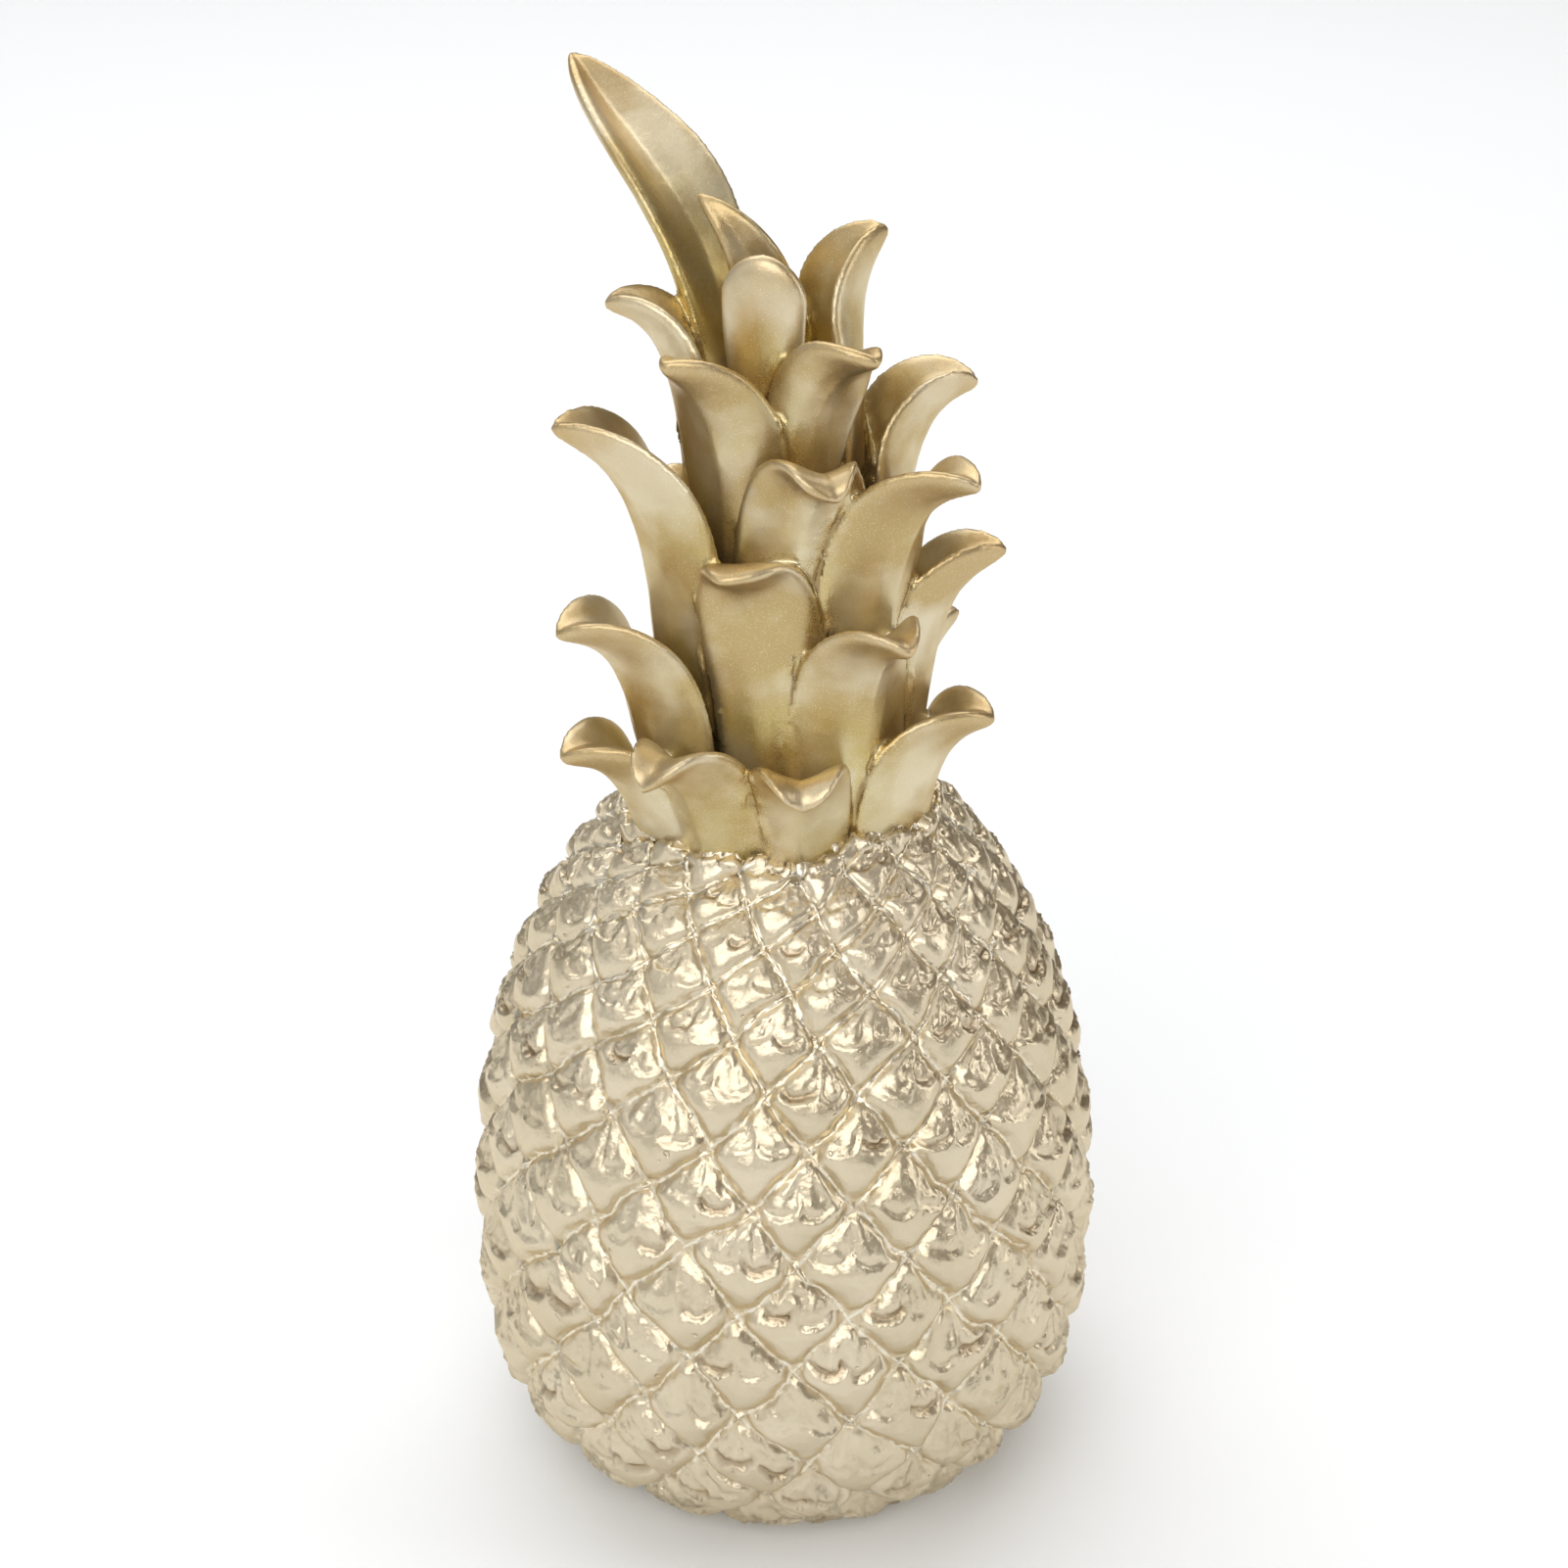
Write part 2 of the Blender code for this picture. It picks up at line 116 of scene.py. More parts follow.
LEAVES = (
    # lowest tier, on the fruit's shoulder
    Leaf(-62, 108, 134.8, 39.0, 25, -5, stand=2.2, flare=0.25, channel=0.22),
    Leaf(-28, 106, 135.5, 38.0, 19, -50, lean=-4, stand=2.2, point=0.4),
    Leaf(5, 104, 132.8, 33.0, 17.0, -60, lean=0, stand=2.2, point=0.1, shoulder=0.5),
    Leaf(66, 108, 138.8, 35.0, 28, 0, lean=2, stand=2.2, flare=0.2, channel=0.22),
    Leaf(108, 118, 148.5, 29.5, 16, 25, stand=0.5),
    Leaf(142, 108, 138.0, 35.0, 20, 5, stand=2.2),
    Leaf(178, 108, 139.0, 36.0, 20, -20, stand=2.2),
    Leaf(-150, 108, 137.0, 35.0, 20, 5, stand=2.2),
    Leaf(-112, 108, 137.0, 29.0, 19, -15, stand=2.2),
    # second tier
    Leaf(-63, 120, 155.0, 38.8, 27.5, -5, stand=1.0, flare=0.25, channel=0.22),
    Leaf(-3, 118, 168.0, 29.0, 18.8, -8, lean=-8, stand=1.6, channel=0.05, point=0.0, shoulder=0.5),
    Leaf(31, 118, 156.8, 35.0, 21, -10, lean=1, stand=1.2, point=0.5),
    Leaf(82, 126, 164.2, 34.8, 22, 15, stand=1.0, channel=0.3),
    Leaf(134, 124, 160.0, 31.0, 19, 0, stand=1.0),
    Leaf(170, 124, 159.0, 35.0, 20, -15, stand=1.0),
    Leaf(-162, 124, 161.0, 35.0, 20, 5, stand=1.0),
    Leaf(-128, 124, 156.0, 24.0, 19, 25, stand=1.0),
    # third tier
    Leaf(-71, 138, 186.2, 36.6, 30.5, 20, stand=0.0, flare=0.15, channel=0.22),
    Leaf(4, 146, 180.0, 28.0, 19, -50, lean=6, channel=0.2, point=0.4, shoulder=0.45),
    Leaf(47, 142, 181.0, 37.5, 23, 0, lean=2, flare=0.2),
    Leaf(97, 154, 188.2, 30.0, 22, 0, flare=0.15, channel=0.34),
    Leaf(128, 146, 170.0, 23.0, 17, 25),
    Leaf(166, 148, 180.0, 29.0, 18, -5),
    Leaf(-158, 148, 184.0, 32.0, 19, 5),
    Leaf(-114, 148, 172.0, 22.0, 17, 25),
    # fourth tier
    Leaf(-32, 162, 198.5, 27.0, 19, 20, lean=-4, channel=0.14, point=0.5),
    Leaf(-86, 170, 202.0, 27.0, 18, -5, flare=0.15, channel=0.22),
    Leaf(5, 162, 199.1, 23.0, 14.0, 0, lean=11.7, channel=0.18, point=0.4, shoulder=0.6, root=0.75),
    Leaf(138, 164, 190.0, 18.0, 15, 25),
    Leaf(-168, 166, 199.0, 25.0, 17, 5),
    # top of the crown, with the one long leaf
    Leaf(-18, 176, 212.5, 12.5, 13.2, 80, lean=1, channel=0.03, point=0.0, shoulder=0.7, root=0.75),
    Leaf(106, 176, 212.3, 16.2, 20, 40, stand=-2, channel=0.32, root=1.0),
    Leaf(-170, 186, 216.8, 8.5, 10, 60, lean=12, shoulder=0.2),
    Leaf(-133, 176, 232.5, 45.5, 18.5, 53, stand=0.5, flare=0.12, bend=0.67, shoulder=0.55,
         point=0.6, root=0.65),
)

# Colours of the paint, with its painted shade, shadow, highlights and glints, as linear red, green and blue
FRUIT_TONES = ((0.64, 0.55, 0.385), (0.71, 0.62, 0.46))
# painted shade in the grooves between the eyes
GROOVE_SHADE_GOLD = (0.56, 0.42, 0.22)
# painted shade in the deepest pockets under the lips
POCKET_SHADE_BROWN = (0.3, 0.2, 0.1)
# painted highlight on the cords in the grooves
BEAD_HIGHLIGHT_GOLD = (0.95, 0.9, 0.76)
LEAF_TONES = ((0.5, 0.37, 0.17), (0.71, 0.63, 0.45))
FOOT_OLIVE = (0.56, 0.45, 0.15)
TIP_TAN = (0.58, 0.43, 0.23)
# painted glints of metal flake on the leaves
GLINT_GOLD = (0.9, 0.82, 0.62)
# painted shade near the creases between leaves
CREASE_SHADE_OCHRE = (0.5, 0.37, 0.13)
# painted shadow in thin lines right in those creases
CREASE_SHADOW_BROWN = (0.2, 0.12, 0.05)

# Picture
CAMERA_DISTANCE = 436.8 * MM      # level distance from the axis
CAMERA_HEIGHT = 330.7 * MM
CAMERA_PITCH = math.radians(25.54)  # how far it looks down
CAMERA_LENS = 69.0                # focal length and sensor width in millimetres
SENSOR_WIDTH = 36.0
FLOOR_SIZE = 6.0


def soft_step(value, low, high):
    """0 below low, 1 above high, and an even curve between; numbers or arrays."""
    share = np.clip((value - low) / (high - low), 0.0, 1.0)
    return share * share * (3.0 - 2.0 * share)


# Fruit

def fruit_profile(steps=3000):
    """Rows, radii, heights and outward directions up the side of the fruit, as arrays."""
    bottom = GIRTH_HEIGHT - LOWER_HALF
    top = GIRTH_HEIGHT + UPPER_HALF
    swing = np.pi * np.arange(1, steps) / steps
    height = bottom + (top - bottom) * (1.0 - np.cos(swing)) / 2.0
    above = height - GIRTH_HEIGHT
    upper = np.clip(above / UPPER_HALF, 0.0, 1.0) ** UPPER_POWER
    lower = np.clip(-above / LOWER_HALF, 0.0, 1.0) ** LOWER_POWER
    radius = FRUIT_RADIUS * np.sqrt(1.0 - np.where(above > 0.0, upper, lower))
    length = np.hypot(np.diff(radius), np.diff(height))
    row = np.concatenate(((0.0,), np.cumsum(length * 2.0 / (radius[1:] + radius[:-1]))))
    row -= row[height <= GIRTH_HEIGHT][-1]
    across, up = np.gradient(radius), np.gradient(height)
    size = np.hypot(across, up)
    return row, radius, height, up / size, -across / size


class Skin:
    """The fruit's mean skin, addressed by turn round the axis and by row."""

    def __init__(self):
        self.rows, self.radii, self.heights, self.outs, self.ups = fruit_profile()

    def row_at(self, height):
        """Row of a height on the fruit's side."""
        return self.rows[np.argmin(np.abs(self.heights - height))]

    def points(self, turn, row, rise):
        """Points that stand off the mean skin by rise."""
        out = np.interp(row, self.rows, self.outs)
        radius = np.interp(row, self.rows, self.radii) + out * rise
        height = np.interp(row, self.rows, self.heights) + np.interp(row, self.rows, self.ups) * rise
        return np.stack((radius * np.sin(turn), -radius * np.cos(turn), height), axis=-1)


def unevenness(climb, fall, phase):
    """A fixed number from -1 to 1 for a crossing or an eye, which keeps them from being all alike."""
    value = math.sin(climb * 12.9898 + fall * 78.233 + phase) * 43758.5453
    return 2.0 * (value - math.floor(value)) - 1.0


def first_round(climb, fall):
    """The same crossing, counted within one round of the lattice."""
    rounds = fall // FALLING_EYES
    return climb - rounds * CLIMBING_EYES, fall - rounds * FALLING_EYES


def crossing(start_row, climb, fall):
    """Turn and row of a crossing, a little out of true."""
    home = first_round(climb, fall)
    turn = LATTICE_TURN + climb * CLIMB_TURN + fall * FALL_TURN
    row = start_row + climb * CLIMB_ROW - fall * FALL_ROW
    turn += SPIRAL_SWAY * (row - SWAY_ROW) ** 2
    turn += UNEVEN_TURN * unevenness(*home, phase=0.3)
    row += UNEVEN_ROW * unevenness(*home, phase=1.7)
    return turn, row


def noise_at(points, size, seed):
    """Smooth noise from -1 to 1 at points, with features of about the given size."""
    shift = Vector((seed * 17.3, seed * 5.9, seed * 31.1))
    flat = points.reshape(-1, 3) / size
    values = [noise.noise(Vector(point) + shift) for point in flat]
    return np.array(values).reshape(points.shape[:-1])


def wave(u, v, size, seed):
    """Smooth noise from -1 to 1 over an eye's own square, different for every seed."""
    flat = np.stack((u / size, v / size, np.full_like(u, seed * 7.31)), axis=-1).reshape(-1, 3)
    return np.array([noise.noise(Vector(point)) for point in flat]).reshape(u.shape)


def rounded_share(distance, start, width):
    """0 in the groove and 1 on the cushion, with a round shoulder between."""
    share = np.clip((distance - start) / width, 0.0, 1.0)
    return (1.0 - (1.0 - share) ** 2.2) ** 0.85


def edge_distance(a, b):
    """Distance to the groove round an eye, as a share of its side; the eye's corners are round."""
    across, along = np.abs(a - 0.5), np.abs(b - 0.5)
    corner = 0.21 - 0.06 * (a - b)
    aside = np.maximum(across - 0.5 + corner, 0.0)
    ahead = np.maximum(along - 0.5 + corner, 0.0)
    return np.minimum(corner - np.hypot(aside, ahead), 0.5 - np.maximum(across, along))


class EyeLook:
    """What makes one eye differ from the next, picked from its place in the lattice."""

    def __init__(self, climb, fall):
        picks = [unevenness(climb, fall, 2.1 + 1.37 * number) for number in range(9)]
        self.seed = 50.0 * picks[0] + 3.0 * picks[1]
        self.middle = 0.09 * picks[2]
        self.lift = 0.02 + 0.08 * picks[3]
        self.uneven = 0.07 * picks[4]
        self.tilt = 0.07 * picks[5]
        self.depths = (0.6 + 0.4 * picks[6], 0.6 + 0.4 * picks[7])
        self.fold = 0.5 + 0.5 * picks[8]


def lobes(u, v, look):
    """The two-lobed lip: a thin smile-shaped edge round a pocket on each side of a cusp.

    Returns its height and how strongly painted shade darkens its pockets. Heights are millimetres, and
    places and widths are shares of the eye's half width and half height.
    """
    height = np.zeros_like(u)
    shade = np.zeros_like(u)
    for side, depth in zip((-1.0, 1.0), look.depths):
        half_width = 0.31 + side * look.uneven
        across = (u - look.middle - side * (half_width + 0.03)) / half_width
        drop = 0.24 * (1.0 - np.sqrt(1.0 - 0.97 * np.clip(across, -1.0, 1.0) ** 2))
        bottom = look.lift + side * look.tilt - 0.1 + drop
        above = v - bottom + 0.03 * wave(u, v, size=0.22, seed=look.seed + 4.0)
        inside = soft_step(1.0 - np.abs(across), -0.1, 0.12)
        edge = 0.36 * np.exp(-(above / 0.03) ** 2)
        folds = sum(raised * look.fold * np.exp(-((above - place) / width) ** 2)
                    for place, width, raised in LIP_FOLDS)
        pocket = soft_step(above, 0.0, 0.07) * (1.0 - soft_step(above, 0.08, 0.26))
        height += inside * (edge + folds - depth * pocket)
        # The deepest pockets get painted shade
        shade += inside * pocket * max(depth - 0.6, 0.0) * 2.5
    cusp = np.exp(-(np.abs(u - look.middle) / 0.04) ** 1.5)
    cusp = cusp * soft_step(v, look.lift - 0.1, look.lift + 0.12) * (1.0 - soft_step(v, 0.3, 0.6))
    return height + 0.5 * cusp, np.minimum(shade, 1.0)


def eye_relief(a, b, look):
    """Height of an eye above the mean skin, in millimetres, and how strongly painted shade darkens its
    pockets.

    A rounded cushion leans out to a two-lobed lip at half its height, and puckers back above it.
    Along its sides a and b run from 0 to 1.
    """
    u, v = a + b - 1.0, a - b
    distance = edge_distance(a, b)
    below = 1.0 - soft_step(v, -0.3, 0.4)
    cushion = rounded_share(distance, 0.006, 0.11 + 0.08 * below)
    bulge = ((1.0 - (2.0 * a - 1.0) ** 2) * (1.0 - (2.0 * b - 1.0) ** 2)) ** 0.8
    height = -0.9 + (0.85 + 0.5 * below) * cushion + (0.7 + 0.7 * below) * bulge
    lean = 0.4 * soft_step(v, -1.0, look.lift) - 0.45 * soft_step(v, look.lift + 0.1, 1.0)
    lower = 0.3 * wave(u, v, size=0.5, seed=look.seed) + 0.13 * wave(u, v, size=0.24, seed=look.seed + 3.0)

    # Wrinkles run up to the top corner, finer towards it
    spoke = u / (1.25 - v)
    wrinkles = 1.0 - 3.0 * np.abs(wave(spoke * 1.8, 0.3 * v, size=0.26, seed=look.seed + 1.0))
    crinkles = 1.0 - 3.0 * np.abs(wave(u, v, size=0.22, seed=look.seed + 2.0))
    cheeks = soft_step(v, look.lift - 0.05, look.lift + 0.25)
    pucker = cheeks * (0.42 * wrinkles + 0.15 * crinkles)
    lip, shade = lobes(u, v, look)
    return height + (lean + lower + lip + pucker) * rounded_share(distance, 0.006, 0.16), shade


def eye_grid(skin, start_row, climb, fall, samples):
    """Points of one eye on a square grid, and for each its height, share of cord and share of shade."""
    steps = ((0, 0), (1, 0), (1, 1), (0, 1))
    corners = [crossing(start_row, climb + right, fall + down) for right, down in steps]
    a, b = np.meshgrid(samples, samples, indexing="ij")
    weights = ((1 - a) * (1 - b), a * (1 - b), a * b, (1 - a) * b)
    turn = sum(weight * corner[0] for weight, corner in zip(weights, corners))
    row = sum(weight * corner[1] for weight, corner in zip(weights, corners))
    flat = skin.points(turn, row, 0.0)
    turn = turn + 0.03 * noise_at(flat, 9.0 * MM, seed=1.0) + 0.008 * noise_at(flat, 2.4 * MM, seed=6.0)
    row = row + 0.026 * noise_at(flat, 7.5 * MM, seed=5.0) + 0.008 * noise_at(flat, 2.4 * MM, seed=7.0)
    relief, shade = eye_relief(a, b, EyeLook(*first_round(climb, fall)))

    # A thin cord lies in the groove, and the eyes get rougher and lower near the crown
    coarse = noise_at(flat, 3.0 * MM, seed=2.0)
    fine = noise_at(flat, 1.1 * MM, seed=3.0)
    side = np.minimum(np.minimum(a, 1.0 - a), np.minimum(b, 1.0 - b))
    near_groove = np.exp(-(side / ROUGH_WIDTH) ** 2)
    radius = np.interp(row, skin.rows, skin.radii)
    size = np.clip(radius / FULL_RELIEF_RADIUS, 0.5, 1.0)
    crown = soft_step(row, 0.8, 1.6)
    ridge = np.exp(-(side / CORD_WIDTH) ** 2)
    cord = ridge * (0.5 + 0.45 * coarse + 0.3 * fine) * (1.0 + 0.7 * crown)
    rough = 0.1 * coarse + (0.05 + 0.1 * near_groove) * fine + crown * 0.3 * coarse
    rise = (relief * size + cord + rough) * MM
    return skin.points(turn, row, rise), np.stack((rise / MM, ridge, shade), axis=-1)


def fruit_mesh():
    """The fruit's fine skin as one mesh round the axis, still open above and below."""
    skin = Skin()
    start_row = skin.row_at(LATTICE_HEIGHT)
    samples = np.array(SIDE_SAMPLES + tuple(1.0 - place for place in SIDE_SAMPLES[-2::-1]))
    count = len(samples) - 1
    numbers = {}
    points, marks, faces = [], [], []
    for fall in range(FALLING_EYES):
        for climb in CLIMBS:
            row = start_row + (climb + 0.5) * CLIMB_ROW - (fall + 0.5) * FALL_ROW
            if not LOWEST_ROW < row < HIGHEST_ROW:
                continue
            grid, grid_marks = eye_grid(skin, start_row, climb, fall, samples)
            index = np.empty((count + 1, count + 1), dtype=int)
            for i in range(count + 1):
                for j in range(count + 1):
                    rounds = (fall * count + j) // (FALLING_EYES * count)
                    key = (climb * count + i - rounds * CLIMBING_EYES * count,
                           fall * count + j - rounds * FALLING_EYES * count)
                    if key not in numbers:
                        numbers[key] = len(points)
                        points.append(grid[i, j])
                        marks.append(grid_marks[i, j])
                    index[i, j] = numbers[key]
            quads = np.stack((index[:-1, :-1], index[:-1, 1:], index[1:, 1:], index[1:, :-1]), axis=-1)
            faces.append(quads.reshape(-1, 4))
    data = bpy.data.meshes.new("fruit")
    data.from_pydata(points, [], np.concatenate(faces).tolist())
    for name, values in zip(("relief", "cord", "shade"), np.array(marks).T):
        data.attributes.new(name, "FLOAT", "POINT").data.foreach_set("value", np.ascontiguousarray(values))
    return data


def close_fruit(data):
    """Cuts the fruit flat at the floor, and closes it below and inside the crown."""
    mesh = bmesh.new()
    mesh.from_mesh(data)
    everything = mesh.verts[:] + mesh.edges[:] + mesh.faces[:]
    bmesh.ops.bisect_plane(mesh, geom=everything, plane_co=(0, 0, 0), plane_no=(0, 0, 1),
                           clear_inner=True)
    border = [edge for edge in mesh.edges if edge.is_boundary]
    for upper in (False, True):
        edges = [edge for edge in border if (edge.verts[0].co.z > GIRTH_HEIGHT) == upper]
        height = sum(edge.verts[0].co.z for edge in edges) / len(edges) if upper else 0.0
        pole = mesh.verts.new((0.0, 0.0, height))
        for edge in edges:
            mesh.faces.new((edge.verts[0], edge.verts[1], pole))
    bmesh.ops.recalc_face_normals(mesh, faces=mesh.faces)
    mesh.to_mesh(data)
    mesh.free()


def add_root_cord(data, plan):
    """Raises a knobbly cord of gold where the leaves stand on the fruit."""
    points = mesh_points(data)
    normals = mesh_points(data, "vertex_normals", "vector")
    upper = np.nonzero(points[:, 2] > ROOT_HEIGHT)[0]
    around = plan.nearby(points[upper], ROOT_CORD_REACH)
    near = np.array([pairs[0][0] if pairs else ROOT_CORD_REACH for pairs in around])
    knobs = noise_at(points[upper], 3.2 * MM, seed=11.0)
    strands = np.clip(1.0 - 4.0 * np.abs(noise_at(points[upper], 6.0 * MM, seed=12.0)), 0.0, 1.0)
    cord = np.exp(-((near / MM - 0.9) / 0.8) ** 2) * (0.9 + 0.7 * knobs)
    lift = (cord + 0.7 * strands * np.clip(1.0 - near / ROOT_CORD_REACH, 0.0, 1.0)) * MM
    points[upper] += normals[upper] * lift[:, None]
    data.vertices.foreach_set("co", points.ravel())


def build_fruit(plan, material):
    """The fruit as one object, painted."""
    data = fruit_mesh()
    close_fruit(data)
    add_root_cord(data, plan)
    fruit = add_object("fruit", data)
    thin_out(fruit, FRUIT_TRIANGLES)
    settle(fruit)
    keep_above_floor(fruit.data)
    dress(fruit, material)
    return fruit


# Crown

def core_radius(height):
    """Radius of the crown's core: straight up to its shoulder, and then tapering."""
    return CORE_RADIUS - CORE_TAPER * max(height - CORE_SHOULDER, 0.0)


def cubic(points, share):
    """Point and direction of a cubic curve at a share of its run."""
    first, second, third, fourth = (Vector(point) for point in points)
    rest = 1.0 - share
    place = (first * rest ** 3 + second * 3 * rest ** 2 * share
             + third * 3 * rest * share ** 2 + fourth * share ** 3)
    way = (3 * rest ** 2 * (second - first) + 6 * rest * share * (third - second)
           + 3 * share ** 2 * (fourth - third))
    return place, way


def leaf_spine(leaf, share):
    """Middle of a leaf and its direction, as (distance from the axis, height)."""
    foot, tip, reach = leaf.foot * MM, leaf.tip * MM, leaf.reach * MM
    bend_height = foot + leaf.bend * (tip - foot)
    start = core_radius(foot) + leaf.stand * MM
    upright = core_radius(bend_height) + LEAF_STAND
    end = math.radians(leaf.end)
    pull = 0.5 * math.hypot(reach - start, 0.5 * (tip - foot))
    points = ((start, foot), (upright + leaf.flare * (reach - upright), bend_height),
              (reach - pull * math.cos(end), tip - pull * math.sin(end)), (reach, tip))
    return cubic(points, share)


def leaf_fullness(leaf, share):
    """The leaf's width as a share of its greatest: narrower at the foot, blunt or pointed at the tip."""
    if share < leaf.shoulder:
        return leaf.root + (1.0 - leaf.root) * float(soft_step(share, 0.0, leaf.shoulder))
    past = (share - leaf.shoulder) / (1.0 - leaf.shoulder)
    return max(1.0 - past ** (2.2 - 0.5 * leaf.point), 0.0) ** (0.6 + 0.2 * leaf.point)


def leaf_section(leaf, share):
    """Closed, rounded outline of a leaf across its length, as (sideways, outward) pairs."""
    fullness = leaf_fullness(leaf, share)
    half = 0.5 * leaf.width * MM * fullness
    end = math.sqrt(max(1.0 - share ** 14, 0.0))
    thickness = LEAF_THICKNESS * (1.0 - TIP_THINNING * share) * end
    deepening = (leaf.channel - FLAT_CHANNEL) * float(soft_step(share, 0.15, 0.65))
    channel = leaf.width * MM * (FLAT_CHANNEL + deepening) * fullness ** 0.8
    edge_bend = math.hypot(1.0, KEEL_SOFTNESS) - KEEL_SOFTNESS
    outline = []
    for number in range(LEAF_RING):
        angle = math.tau * number / LEAF_RING
        across, out = math.cos(angle), math.sin(angle)
        place = math.copysign(abs(across) ** (2 / SECTION_POWER), across)
        side = 0.5 * math.copysign(abs(out) ** (2 / SECTION_POWER), out)
        bend = (math.hypot(place, KEEL_SOFTNESS) - KEEL_SOFTNESS) / edge_bend
        outline.append((half * place, side * thickness * (1.0 - 0.3 * place ** 2) - channel * bend))
    return outline


def leaf_frame(leaf, share):
    """Middle of a leaf, the way across it and the way out of its outer face."""
    azimuth = math.radians(leaf.azimuth)
    outward = Vector((math.sin(azimuth), -math.cos(azimuth), 0.0))
    sideways = Vector((math.cos(azimuth), math.sin(azimuth), 0.0))
    upward = Vector((0.0, 0.0, 1.0))
    place, way = leaf_spine(leaf, share)
    lean = leaf.lean * MM
    middle = outward * place.x + upward * place.y + sideways * lean * share ** 2
    along = (outward * way.x + upward * way.y + sideways * 2.0 * share * lean).normalized()
    across = (sideways - along * sideways.dot(along)).normalized()
    return middle, across, across.cross(along)


def loft(rings):
    """Points and faces of a closed shape skinned over rings of points."""
    points = [point for ring in rings for point in ring]
    count = len(rings[0])
    faces = []
    for lower in range(0, len(points) - count, count):
        for index in range(count):
            after = (index + 1) % count
            faces.append((lower + index, lower + after, lower + count + after, lower + count + index))
    faces.append(tuple(range(count)))
    faces.append(tuple(range(len(points) - count, len(points))))
    return points, faces


def leaf_rings(leaf):
    """Rings of points up a leaf, and the share of the leaf's length at each ring."""
    swing = 0.5 * np.pi * np.arange(LEAF_STATIONS) / (LEAF_STATIONS - 1)
    shares = np.minimum(np.sin(swing) ** 0.9, 0.9995).tolist()
    rings = []
    for share in shares:
        middle, across, outer = leaf_frame(leaf, share)
        rings.append([middle + across * aside + outer * out for aside, out in leaf_section(leaf, share)])
    return rings, shares


def core_rings():
    """Rings of points up the crown's core, from inside the fruit to a rounded end under the top leaves."""
    turns = [math.tau * side / CORE_SIDES for side in range(CORE_SIDES)]
    brim = CORE_TOP - CORE_DOME
    outline = [(core_radius(height), height) for height in np.linspace(CORE_FOOT, brim, 40).tolist()]
    for swing in np.radians(np.arange(6.0, 90.0, 6.0)).tolist():
        outline.append((core_radius(brim) * math.cos(swing), brim + CORE_DOME * math.sin(swing)))
    return [[Vector((radius * math.sin(turn), -radius * math.cos(turn), height)) for turn in turns]
            for radius, height in outline]


class CrownPlan:
    """The core and the leaves as overlapping closed shapes, and where a point lies among them."""

    def __init__(self):
        shapes = [loft(core_rings())]
        places, self.shares = [], []
        for leaf in LEAVES:
            rings, shares = leaf_rings(leaf)
            shapes.append(loft(rings))
            places.extend(point for ring in rings for point in ring)
            self.shares.extend(share for share in shares for _number in range(LEAF_RING))
        self.shapes = shapes
        self.trees = [BVHTree.FromPolygons(points, faces) for points, faces in shapes]
        self.marks = kdtree.KDTree(len(places))
        for index, place in enumerate(places):
            self.marks.insert(place, index)
        self.marks.balance()

    def mesh(self):
        """All the shapes as one mesh, still overlapping."""
        points, faces = [], []
        for shape_points, shape_faces in self.shapes:
            faces.extend(tuple(index + len(points) for index in face) for face in shape_faces)
            points.extend(shape_points)
        data = bpy.data.meshes.new("crown")
        data.from_pydata(points, [], faces)
        mesh = bmesh.new()
        mesh.from_mesh(data)
        bmesh.ops.recalc_face_normals(mesh, faces=mesh.faces)
        mesh.to_mesh(data)
        mesh.free()
        return data

    def along(self, place):
        """How far along its leaf a point lies, from 0 to 1."""
        return self.shares[self.marks.find(place)[1]]

    def nearby(self, points, reach):
        """For each point the shapes within reach, nearest first, as pairs of distance and direction out."""
        found = [[] for _point in points]
        for tree, (shape_points, _faces) in zip(self.trees, self.shapes):
            corners = np.array(shape_points)
            lowest, highest = corners.min(axis=0) - reach, corners.max(axis=0) + reach
            inside = np.all((points > lowest) & (points < highest), axis=1)
            for index in np.nonzero(inside)[0]:
                _place, normal, _face, distance = tree.find_nearest(points[index], reach)
                if distance is not None:
                    found[index].append((distance, normal))
        return [sorted(pairs, key=lambda pair: pair[0]) for pairs in found]

    def creases(self, points, reach):
        """Distance of each point to the line where its leaf meets another one, up to a reach.

        A leaf that lies close under another, along it, makes no crease.
        """
        distances = np.full(len(points), reach)
        for index, pairs in enumerate(self.nearby(points, reach)):
            for distance, normal in pairs[1:]:
                slant = min(max((0.96 - abs(normal.dot(pairs[0][1]))) / 0.3, 0.0), 1.0)
                distances[index] = min(distances[index], reach - slant * (reach - distance))
        return distances


def mesh_points(data, layer="vertices", value="co"):
    """Places or normals of a mesh's points, as an array."""
    found = np.empty(len(data.vertices) * 3)
    getattr(data, layer).foreach_get(value, found)
    return found.reshape(-1, 3)


def cut_creases(data, plan):
    """Sinks the lines between two leaves, and leaves beads of thick paint beside them."""
    points = mesh_points(data)
    normals = mesh_points(data, "vertex_normals", "vector")
    distance = plan.creases(points, CREASE_REACH)
    beads = np.clip(noise_at(points, 3.5 * MM, seed=8.0) - 0.05, 0.0, 1.0)
    depth = 0.45 * np.clip(1.0 - distance / (0.7 * MM), 0.0, 1.0)
    beside = np.exp(-((distance / MM - 1.2) / 0.4) ** 2)
    shift = (1.1 * beads * beside - depth) * MM
    shift += 0.12 * MM * noise_at(points, 6.0 * MM, seed=9.0)
    data.vertices.foreach_set("co", (points + normals * shift[:, None]).ravel())


def paint_marks(data, plan):
    """Stores how far along its leaf each point lies, and how near it lies to a second leaf."""
    points = mesh_points(data)
    along = [plan.along(point) for point in points]
    data.attributes.new("along", "FLOAT", "POINT").data.foreach_set("value", along)
    crease = np.clip(1.0 - plan.creases(points, CREASE_REACH) / CREASE_REACH, 0.0, 1.0)
    data.attributes.new("crease", "FLOAT", "POINT").data.foreach_set("value", crease)


